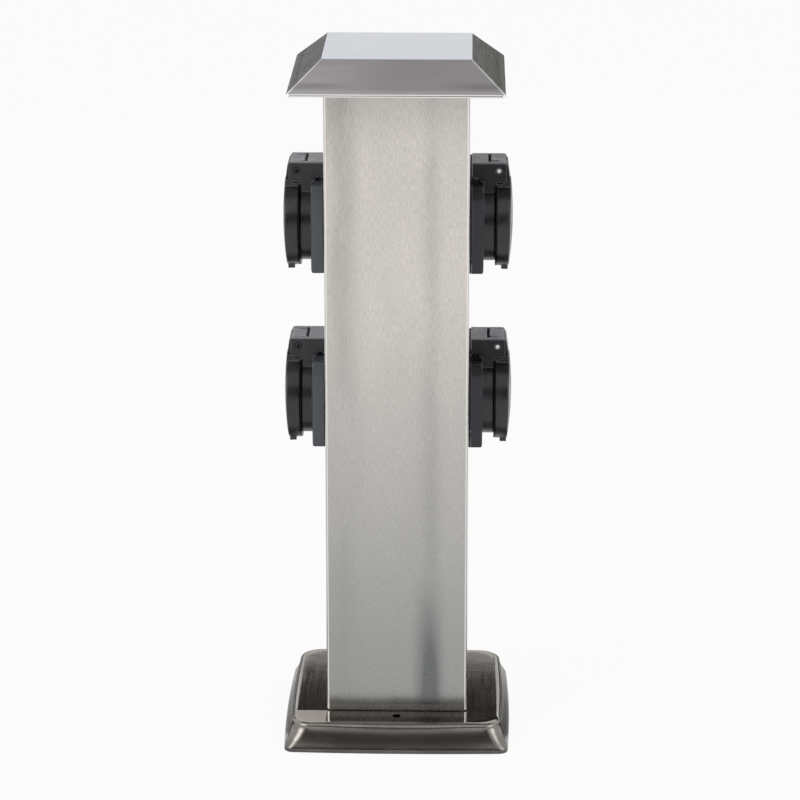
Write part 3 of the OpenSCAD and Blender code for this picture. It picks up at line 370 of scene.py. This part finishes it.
def housing_finish():
    """The plastic of lids and socket bodies. The bodies carry painted light: the flange is greyer, much
    lighter on the left than on the right, and the hinge block's top has a painted sheen, lighter on the
    left. Painted shade, with its gloss taken away, darkens the block's cheeks, more on the right, and makes
    the step before the lid and a ring round each pin black. The edges carry a pale painted highlight."""
    mat = moulded_finish("black_moulding", (0.0120, 0.0125, 0.0150), 0.29)
    tree = mat.node_tree
    shader = [n for n in tree.nodes if n.type == "BSDF_PRINCIPLED"][0]
    coords = [n for n in tree.nodes if n.type == "TEX_COORD"][0].outputs["Object"]
    moulding = shader.inputs["Base Color"].links[0].from_socket
    across, height = axis_of(tree, coords, 0), axis_of(tree, coords, 2)
    out = apart(tree, across)
    right = ranged(tree, across, -0.001, 0.001, 0.0, 1.0)
    painted_top_sheen, cheeks, lid_bands, flange_bands, rings = [], [], [], [], []
    for site, joint in zip(LEVELS, frame["record"]["behaviour"]["joints"]):
        pin_x, _, pin_z = joint["pos_m"]
        below = math_node(tree, "SUBTRACT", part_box("socket_housing_" + site)[1][2], height)
        over_foot = ranged(tree, below, 0.064, 0.066, 1.0, 0.0)
        # Painted sheen on the hinge block's top.
        painted_top_sheen.append(ranged(tree, apart(tree, below), 0.0004, 0.0009, 1.0, 0.0))
        cheeks.append(product(tree, ranged(tree, below, 0.0008, 0.0014, 0.0, 1.0),
                              ranged(tree, below, 0.017, 0.020, 1.0, 0.0)))
        lid_bands.append(product(tree, ranged(tree, below, 0.0125, 0.0131, 0.0, 1.0), over_foot))
        flange_bands.append(product(tree, ranged(tree, below, 0.0098, 0.0104, 0.0, 1.0), over_foot))
        # Painted shadow in a ring round each pin.
        to_pin = distance(tree, apart(tree, out, abs(pin_x)), apart(tree, height, pin_z))
        rings.append(ranged(tree, to_pin, 0.0017, 0.0023, 1.0, 0.0))
    # Painted shade in the step between the collar and the lid.
    step = product(tree, ranged(tree, apart(tree, out, COLLAR_OUT), 0.0006, 0.0013, 1.0, 0.0),
                   total(tree, *lid_bands))
    # Painted shade on the block's cheeks, more on the right.
    shaded = product(tree, total(tree, *cheeks), ranged(tree, right, 0.0, 1.0, 0.12, 0.55, smooth=False))
    # All the painted shade: rings round the pins, the step and the cheeks.
    painted_shade = largest(tree, total(tree, *rings), step, shaded)
    # Painted light on the flange, much lighter on the left than on the right.
    flange = product(tree, ranged(tree, out, FLANGE_OUT - 0.0003, FLANGE_OUT + 0.0002, 1.0, 0.0),
                     total(tree, *flange_bands))
    # Painted highlight on the edges, none in the step.
    painted_light = product(tree, edge_mask(tree, 0.0009), math_node(tree, "SUBTRACT", 1.0, step), 0.85)
    tone = layered(tree, moulding, [
        # Painted light on the flange.
        (flange, blended(tree, right, (0.066, 0.073, 0.088), (0.011, 0.012, 0.018))),
        # Painted sheen on the block tops, lighter on the left.
        (total(tree, *painted_top_sheen), blended(tree, right, (0.22, 0.22, 0.25), (0.14, 0.142, 0.165))),
        # Painted shade, black.
        (painted_shade, BLACK),
        # Painted edge highlight.
        (painted_light, (0.22, 0.23, 0.26))])
    tree.links.new(tone, shader.inputs["Base Color"])
    # Painted shade also loses its gloss.
    gloss = ranged(tree, painted_shade, 0.0, 1.0, 0.5, 0.08, smooth=False)
    tree.links.new(gloss, shader.inputs["Specular IOR Level"])
    return mat


def plated_finish(name, colour, rough):
    """Plain or plated metal with a cloudy tone."""
    mat, tree, shader, coords = fresh_material(name)
    cloud = noise(tree, coords, 160.0, 4.0, 0.6)
    darker = tuple(c * 0.8 for c in colour)
    tone = blended(tree, ranged(tree, cloud, 0.35, 0.65, 0.0, 0.8), colour, darker)
    joined(tree, shader, tone, ranged(tree, cloud, 0.3, 0.7, rough - 0.05, rough + 0.08))
    bumped(tree, shader, cloud, 0.1, 0.0001, 0.0003)
    return mat


FINISH = {
    "column_steel": column_finish(),
    "roof_steel": roof_finish(),
    "base_steel": base_finish(),
    "zinc_steel": plated_finish("zinc_plate", (0.62, 0.63, 0.64), 0.32),
    "pin_steel": plated_finish("polished_pin", (0.60, 0.60, 0.61), 0.22),
    "black_plastic": housing_finish(),
    "insert_plastic": moulded_finish("insert_moulding", (0.045, 0.047, 0.052), 0.45),
    "black_rubber": moulded_finish("black_rubber", (0.012, 0.012, 0.013), 0.62, 1800.0),
    "ivory_plastic": moulded_finish("ivory_moulding", (0.74, 0.72, 0.64), 0.42),
    "brass": plated_finish("brass_strip", (0.74, 0.57, 0.27), 0.25),
    "brown_wire": moulded_finish("brown_insulation", (0.16, 0.06, 0.025), 0.35),
    "blue_wire": moulded_finish("blue_insulation", (0.03, 0.09, 0.34), 0.35),
    "green_wire": moulded_finish("green_insulation", (0.12, 0.32, 0.03), 0.35),
}


def dress(piece, slot_name):
    """Gives the piece the finish of the record's slot."""
    piece.data.materials.clear()
    piece.data.materials.append(FINISH[slot_name])


for row in frame["record"]["subparts"]:
    dress(frame["nodes"][row["node"]], row["material_slot"])


# Smooth shading of carried-over solids

MERGE_GAP = 0.000002
CAD_SHARP_DEG = 31


def rounding_group(limit):
    """Modifier nodes: merge the loose triangles, and shade smooth where faces meet at less than the
    limit."""
    group = bpy.data.node_groups.new("round_shading", "GeometryNodeTree")
    group.interface.new_socket("Geometry", in_out="INPUT", socket_type="NodeSocketGeometry")
    group.interface.new_socket("Geometry", in_out="OUTPUT", socket_type="NodeSocketGeometry")
    nodes, links = group.nodes, group.links
    start, end = nodes.new("NodeGroupInput"), nodes.new("NodeGroupOutput")
    merge = nodes.new("GeometryNodeMergeByDistance")
    merge.inputs["Distance"].default_value = MERGE_GAP
    angle = nodes.new("GeometryNodeInputMeshEdgeAngle")
    sharp = nodes.new("FunctionNodeCompare")
    sharp.data_type = "FLOAT"
    sharp.operation = "LESS_THAN"
    sharp.inputs[1].default_value = limit
    faces = nodes.new("GeometryNodeSetShadeSmooth")
    faces.domain = "FACE"
    faces.inputs["Shade Smooth"].default_value = True
    edges = nodes.new("GeometryNodeSetShadeSmooth")
    edges.domain = "EDGE"
    links.new(start.outputs[0], merge.inputs["Geometry"])
    links.new(angle.outputs["Unsigned Angle"], sharp.inputs[0])
    links.new(merge.outputs["Geometry"], faces.inputs["Geometry"])
    links.new(faces.outputs["Geometry"], edges.inputs["Geometry"])
    links.new(sharp.outputs["Result"], edges.inputs["Shade Smooth"])
    links.new(edges.outputs["Geometry"], end.inputs[0])
    return group


round_shading = rounding_group(math.radians(CAD_SHARP_DEG))
for piece in frame["nodes"].values():
    piece.modifiers.new("round_shading", "NODES").node_group = round_shading


# Folded steel shells, drawn in millimetres about the post's axis

def square_rows(halves, corners, bows, side_steps=24, corner_steps=10):
    """Closed outlines, one per profile step. A side runs over t from -1 to 1 at
    (half + bow (1 - t^2), t (half - corner)). A corner is an arc of radius corner about
    (half - corner, half - corner). Both are turned four times by a quarter."""
    t = np.linspace(-1, 1, side_steps)
    a = np.linspace(0, QUARTER_TURN, corner_steps + 2)[1:-1]
    h, c, b = (np.asarray(v, float)[:, None] for v in (halves, corners, bows))
    x = np.concatenate([h + b * (1 - t * t), h - c + c * np.cos(a)], axis=1)
    y = np.concatenate([t * (h - c), h - c + c * np.sin(a)], axis=1)
    quarters = [(x, y), (-y, x), (-x, -y), (y, -x)]
    return np.concatenate([np.stack(quarter, -1) for quarter in quarters], axis=1)


def shell_piece(name, profile, low_z):
    """A closed shell: profile rows of (half width, height, corner radius, bow), carried round the square
    outline from the middle of the top's outside, over the rim, to the middle of its inside. A fan closes
    both middles."""
    rows = np.array(profile, float)
    plan = square_rows(rows[:, 0], rows[:, 2], rows[:, 3])
    steps, around = plan.shape[:2]
    height = np.broadcast_to(rows[:, 1][:, None], (steps, around))
    grid = np.concatenate([plan, height[..., None] + low_z], axis=2).reshape(-1, 3)
    middles = [[0, 0, rows[0, 1] + low_z], [0, 0, rows[-1, 1] + low_z]]
    points = np.vstack([grid, middles]) * MM
    row, here = np.meshgrid(np.arange(steps - 1) * around, np.arange(around), indexing="ij")
    there = (here + 1) % around
    quads = np.stack([row + here, row + around + here, row + around + there, row + there], -1).reshape(-1, 4)
    here = np.arange(around)
    there = (here + 1) % around
    first = np.stack([np.full(around, len(grid)), here, there], -1)
    end = (steps - 1) * around
    last = np.stack([np.full(around, len(grid) + 1), end + there, end + here], -1)
    mesh = bpy.data.meshes.new(name)
    mesh.from_pydata(points.tolist(), [], quads.tolist() + first.tolist() + last.tolist())
    mesh.polygons.foreach_set("use_smooth", np.ones(len(mesh.polygons), bool))
    mesh.update()
    piece = bpy.data.objects.new(name, mesh)
    bpy.context.scene.collection.objects.link(piece)
    return piece


def bend(centre_half, centre_z, radius, start, end, steps):
    """Profile points on an arc about (centre_half, centre_z), between two angles; 0 is level and
    outwards."""
    a = np.radians(np.linspace(start, end, steps))
    return centre_half + radius * np.cos(a), centre_z + radius * np.sin(a)


def profile_of(stretches, corner, bow):
    """Joins stretches of (halves, heights), and gives each point its corner radius and bow by its place."""
    h = np.concatenate([np.atleast_1d(np.asarray(a, float)) for a, _ in stretches])
    z = np.concatenate([np.atleast_1d(np.asarray(b, float)) for _, b in stretches])
    return np.stack([h, z, corner(h, z), bow(h, z)], -1)


def straight(a, b, shares=(0.04, 0.5, 0.96), hollow=1.0):
    """Points from a to b at the given shares. The height changes evenly, and the half width with the share
    to the power of hollow: 1 gives a straight line, and more a hollow one."""
    s = np.array(shares)
    return a[0] + (b[0] - a[0]) * s**hollow, a[1] + (b[1] - a[1]) * s


def backwards(stretch):
    """The same points in the other order."""
    return stretch[0][::-1], stretch[1][::-1]


def first_of(stretch):
    """The first point of a stretch."""
    return stretch[0][0], stretch[1][0]


def last_of(stretch):
    """The last point of a stretch."""
    return stretch[0][-1], stretch[1][-1]


PROFILE_START = 2
FLAT_SHARES = (0.03, 0.5, 1.0)
ROOF_LOW = EAVE_Z / MM
ROOF_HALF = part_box("roof_cap")[1][0] / MM
ROOF_H = ROOF_TOP_Z / MM - ROOF_LOW
ROOF_TOP_HALF = WALL_X / MM + 0.65
ROOF_LIP, ROOF_WALL = 1.3, 1.2
ROOF_TOP_BEND, ROOF_LIP_BEND, ROOF_INNER_BEND, ROOF_EDGE = 1.3, 1.6, 0.5, 0.35
ROOF_CORNER, ROOF_TOP_CORNER = 2.2, 1.1
ROOF_INSET = 0.46 * ROOF_WALL
EDGE_STEP = 0.1


def roof_shell():
    """Hipped cap: a flat top, a bend, the slope, a bend into an upright lip, and the inside, a wall
    further in."""
    slope = math.degrees(math.atan2(ROOF_H - ROOF_LIP, ROOF_HALF - ROOF_TOP_HALF))
    normal = 90 - slope

    def bent(half, z, radius, start, end, steps):
        """An arc that touches both legs of the corner at (half, z); their normals point at start and end
        degrees."""
        mid, open_angle = math.radians((start + end) / 2), math.radians((start - end) / 2)
        reach = radius / math.cos(open_angle)
        return bend(half - reach * math.cos(mid), z - reach * math.sin(mid), radius, start, end, steps)

    under, inside = ROOF_H - ROOF_WALL, ROOF_HALF - ROOF_WALL
    top_out = bent(ROOF_TOP_HALF, ROOF_H, ROOF_TOP_BEND, 90, normal, 7)
    lip_out = bent(ROOF_HALF, ROOF_LIP, ROOF_LIP_BEND, normal, 0, 9)
    top_in = bent(ROOF_TOP_HALF - ROOF_INSET, under, ROOF_INNER_BEND, 90, normal, 4)
    lip_in = bent(inside, ROOF_LIP - ROOF_INSET, ROOF_INNER_BEND, normal, 0, 4)
    edge = bend(ROOF_HALF - ROOF_EDGE, ROOF_EDGE, ROOF_EDGE, 0, -90, 4)
    stretches = [straight((PROFILE_START, ROOF_H), (top_out[0][0], ROOF_H), (0.0, 0.4, 0.8, 0.97)),
                 top_out,
                 straight(last_of(top_out), first_of(lip_out), np.linspace(0.03, 0.97, 12)),
                 lip_out,
                 edge,
                 ([inside + EDGE_STEP, inside], [0.0, EDGE_STEP]),
                 backwards(lip_in),
                 straight(first_of(lip_in), last_of(top_in)),
                 backwards(top_in),
                 straight((top_in[0][0], under), (PROFILE_START, under), FLAT_SHARES)]

    def corner(h, z):
        """Corner radius: it falls evenly from lip to top, and is never over half of a small outline."""
        fall = (ROOF_CORNER - ROOF_TOP_CORNER) * np.clip(z / ROOF_H, 0, 1)
        return np.minimum(ROOF_CORNER - fall, h * 0.5)

    return shell_piece("roof_cap_shell", profile_of(stretches, corner, lambda h, z: 0 * h), ROOF_LOW)


BASE_BEND, BASE_RIM, BASE_BOW = 3.0, 2.4, 1.3
BASE_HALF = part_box("base_cover")[1][0] / MM - BASE_BOW
BASE_H = BASE_TOP_Z / MM
BASE_SHOULDER, BASE_WALL, BASE_HEM = BASE_HALF - 4.0, 1.2, 5.0
BASE_BEND_END, BASE_FOOT = 20, 0.5
BASE_SKIRT_END = (BASE_HALF - 0.25, BASE_RIM + 0.5)
BASE_HOLLOW = 1.5
BASE_RIM_CORNER, BASE_TOP_CORNER = 5, 11
BASE_BOW_HALF = 50


def base_shell():
    """Drawn base: a flat top, a round bend, a hollow skirt that flares to an upright rim, a hem on the
    ground, and the inside, a wall further in."""
    bend_half, bend_z = BASE_SHOULDER - BASE_BEND, BASE_H - BASE_BEND
    under, inside, hem = BASE_H - BASE_WALL, BASE_HALF - BASE_WALL, BASE_HALF - BASE_HEM
    top_out = bend(bend_half, bend_z, BASE_BEND, 90, BASE_BEND_END, 9)
    top_in = bend(bend_half, bend_z, BASE_BEND - BASE_WALL, 90, BASE_BEND_END, 5)
    skirt = straight(last_of(top_out), BASE_SKIRT_END, np.linspace(0.05, 0.97, 10), BASE_HOLLOW)
    rim = ([BASE_HALF - EDGE_STEP, BASE_HALF, BASE_HALF], [BASE_RIM + 0.1, BASE_RIM - 0.3, BASE_RIM - 1.0])
    foot = bend(BASE_HALF - BASE_FOOT, BASE_FOOT, BASE_FOOT, 0, -90, 5)
    stretches = [straight((PROFILE_START, BASE_H), (top_out[0][0], BASE_H), (0.0, 0.35, 0.7, 0.95)),
                 top_out,
                 skirt,
                 rim,
                 foot,
                 ([hem + EDGE_STEP, hem, hem + EDGE_STEP], [0.0, 0.3, BASE_WALL]),
                 ([inside - EDGE_STEP, inside], [BASE_WALL, BASE_WALL + EDGE_STEP]),
                 straight((inside, BASE_RIM), last_of(top_in)),
                 backwards(top_in),
                 straight((top_in[0][0], under), (PROFILE_START, under), FLAT_SHARES)]

    def corner(h, z):
        """Corner radius: it grows evenly from rim to shoulder, and is never over half of a small
        outline."""
        share = np.clip((z - BASE_RIM) / (bend_z - BASE_RIM), 0, 1)
        return np.minimum(BASE_RIM_CORNER + (BASE_TOP_CORNER - BASE_RIM_CORNER) * share, h * 0.5)

    def bow(h, z):
        """Bow of the sides: full on the skirt, fading over the bend to none on the flat top."""
        share = np.clip((BASE_H - np.maximum(z, bend_z)) / BASE_BEND, 0, 1)
        return BASE_BOW * np.sqrt(share) * np.clip(h / BASE_BOW_HALF, 0, 1)

    return shell_piece("base_cover_shell", profile_of(stretches, corner, bow), 0.0)


def drilled(piece, places, radius, low, high, sides=32):
    """Cuts round upright holes through a piece, by a boolean with one many-sided bar for each place, and
    applies it. A bar's two rings lie at radius (cos a, sin a) about its place, for evenly spaced a."""
    a = np.linspace(0, 4 * QUARTER_TURN, sides + 1)[:-1]
    ring = np.stack([np.cos(a), np.sin(a)], -1) * radius
    plan = np.array(places)[:, None, None, :] + np.stack([ring, ring])
    height = np.broadcast_to(np.array([low, high])[None, :, None, None], (len(places), 2, sides, 1))
    points = np.concatenate([plan, height], axis=3).reshape(-1, 3)
    here = np.arange(sides)
    there = (here + 1) % sides
    faces = []
    for start in range(0, len(points), 2 * sides):
        lower, upper = start + here, start + sides + here
        faces += np.stack([lower, start + there, start + sides + there, upper], -1).tolist()
        faces += [lower[::-1].tolist(), upper.tolist()]
    mesh = bpy.data.meshes.new("bars")
    mesh.from_pydata(points.tolist(), [], faces)
    bars = bpy.data.objects.new("bars", mesh)
    bpy.context.scene.collection.objects.link(bars)
    cut = piece.modifiers.new("holes", "BOOLEAN")
    cut.operation, cut.solver, cut.object = "DIFFERENCE", "EXACT", bars
    bpy.context.view_layer.update()
    done = bpy.data.meshes.new_from_object(piece.evaluated_get(bpy.context.evaluated_depsgraph_get()))
    piece.modifiers.clear()
    piece.data = done
    bpy.data.objects.remove(bars)
    return piece


SHELL_SHARP_DEG = 40
DRILL_LOW, DRILL_HIGH = BASE_TOP_Z - 0.0045, BASE_TOP_Z + 0.0035
ground_holes = [(0, -GROUND_HOLE_Y), (0, GROUND_HOLE_Y)]
roof = roof_shell()
base = drilled(base_shell(), ground_holes, GROUND_HOLE_R, DRILL_LOW, DRILL_HIGH)
for piece, node, finish in ((roof, "roof_cap", "roof_steel"), (base, "base_cover", "base_steel")):
    piece.data.set_sharp_from_angle(angle=math.radians(SHELL_SHARP_DEG))
    dress(piece, finish)
    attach(piece, "post")
    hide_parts(node)

# Camera, floor and light

CAMERA_AT = (0.0408, -1.7693, 0.7198)
CAMERA_PITCH, CAMERA_YAW = 0.2908, -0.0225
FOCAL_PX, PICTURE_PX, SENSOR_MM = 3247.0, 800, 36
camera_data = bpy.data.cameras.new("camera")
camera_data.lens = FOCAL_PX * SENSOR_MM / PICTURE_PX
camera_data.sensor_width = SENSOR_MM
camera = bpy.data.objects.new("camera", camera_data)
camera.location = CAMERA_AT
camera.rotation_euler = (QUARTER_TURN - CAMERA_PITCH, 0, -CAMERA_YAW)
bpy.context.scene.collection.objects.link(camera)
bpy.context.scene.camera = camera
bpy.context.scene.view_settings.view_transform = "Standard"


def flat_mesh(name, corners):
    """A single face through four corners."""
    mesh = bpy.data.meshes.new(name)
    mesh.from_pydata([tuple(c) for c in corners], [], [(0, 1, 2, 3)])
    obj = bpy.data.objects.new(name, mesh)
    bpy.context.scene.collection.objects.link(obj)
    return obj


def upright_card(x0, x1, y, z0, z1):
    """The corners of an upright card that faces along Y."""
    return [(x0, y, z0), (x1, y, z0), (x1, y, z1), (x0, y, z1)]


def level_card(x0, x1, y0, y1, z):
    """The corners of a level card."""
    return [(x0, y0, z), (x1, y0, z), (x1, y1, z), (x0, y1, z)]


def bare_tree(owner, output):
    """The emptied node tree of a new material or world, and its output node."""
    owner.use_nodes = True
    tree = owner.node_tree
    tree.nodes.clear()
    return tree, tree.nodes.new(output)


def glow_node(tree, kind, colour, strength=1.0):
    """An even glow: the emission of a face, or the background of a world."""
    node = tree.nodes.new(kind)
    node.inputs["Color"].default_value = (*colour, 1)
    node.inputs["Strength"].default_value = strength
    return node.outputs[0]


def mixed_surface(tree, out, share, under, over):
    """Gives the output one shader with a share of another over it."""
    mix = tree.nodes.new("ShaderNodeMixShader")
    for socket, part in zip(mix.inputs, (share, under, over)):
        tree.links.new(part, socket)
    tree.links.new(mix.outputs["Shader"], out.inputs["Surface"])


FLOOR_HALF, PAPER_SHARE = 6, 0.93


def floor_finish():
    """Pale floor: matt, and seen by the camera as paper white with a part of its shadow. Below the base it
    stays matt."""
    mat = bpy.data.materials.new("pale_floor")
    tree, out = bare_tree(mat, "ShaderNodeOutputMaterial")
    matt = tree.nodes.new("ShaderNodeBsdfDiffuse")
    matt.inputs["Color"].default_value = (0.84, 0.82, 0.79, 1)
    paper = glow_node(tree, "ShaderNodeEmission", WHITE)
    path = tree.nodes.new("ShaderNodeLightPath")
    seen = largest(tree, path.outputs["Is Camera Ray"], path.outputs["Is Glossy Ray"])
    place = tree.nodes.new("ShaderNodeTexCoord").outputs["Object"]
    away = largest(tree, *(apart(tree, axis_of(tree, place, axis)) for axis in (0, 1)))
    mixed_surface(tree, out, product(tree, seen, ranged(tree, away, 0.056, 0.058, 0.0, PAPER_SHARE)),
                  matt.outputs["BSDF"], paper)
    return mat


floor = flat_mesh("floor", level_card(-FLOOR_HALF, FLOOR_HALF, -FLOOR_HALF, FLOOR_HALF, 0))
floor.data.materials.append(floor_finish())


def studio_card(name, corners, level):
    """A flat card of even grey light that shows in reflections only."""
    card = flat_mesh(name, corners)
    mat = bpy.data.materials.new(name)
    tree, out = bare_tree(mat, "ShaderNodeOutputMaterial")
    tree.links.new(glow_node(tree, "ShaderNodeEmission", level), out.inputs["Surface"])
    card.data.materials.append(mat)
    card.visible_camera = False
    card.visible_shadow = False
    card.visible_diffuse = False


studio_card("card_behind_high", upright_card(-3.2, 3.2, 4.0, 1.552, 2.70), (0.040, 0.036, 0.032))
studio_card("card_behind_left", upright_card(-3.0, 0.0, 3.9, 0.0, 0.72), (0.14, 0.14, 0.14))
studio_card("card_behind_right", upright_card(0.0, 3.0, 3.9, 0.0, 0.72), (0.075, 0.08, 0.07))
studio_card("card_front", upright_card(-1.9, 1.9, -3.4, 0.30, 2.1), (0.085, 0.080, 0.070))
studio_card("card_over", level_card(-2.2, 2.2, -1.2, 1.9, 3.4), (0.40, 0.39, 0.395))
studio_card("card_foot_left", level_card(-0.17, -0.068, -0.03, 0.20, 0.0005), (0.10, 0.10, 0.10))
studio_card("card_foot_right", level_card(0.068, 0.17, -0.03, 0.20, 0.0005), (0.075, 0.08, 0.07))

world = bpy.data.worlds.new("studio")
bpy.context.scene.world = world
tree, out = bare_tree(world, "ShaderNodeOutputWorld")
path = tree.nodes.new("ShaderNodeLightPath")
seen = largest(tree, *(path.outputs["Is %s Ray" % kind] for kind in ("Camera", "Glossy", "Transmission")))
mixed_surface(tree, out, seen, glow_node(tree, "ShaderNodeBackground", (0.95, 0.97, 1.0), 0.55),
              glow_node(tree, "ShaderNodeBackground", WHITE))


def soft_light(name, at, aim, size, power, colour=(1, 1, 1)):
    """A rectangular soft box that points at aim."""
    data = bpy.data.lights.new(name, "AREA")
    data.shape = "RECTANGLE"
    data.size, data.size_y = size
    data.energy = power
    data.color = colour
    lamp = bpy.data.objects.new(name, data)
    lamp.location = at
    lamp.rotation_euler = (Vector(aim) - Vector(at)).to_track_quat("-Z", "Y").to_euler()
    bpy.context.scene.collection.objects.link(lamp)


soft_light("soft_left", (-1.6, -1.2, 1.3), (0, 0, 0.2), (1.0, 1.4), 14.0, (1.0, 0.98, 0.95))
soft_light("soft_right", (1.7, -0.9, 1.0), (0, 0, 0.2), (0.8, 1.4), 8.0, (0.95, 0.98, 1.0))
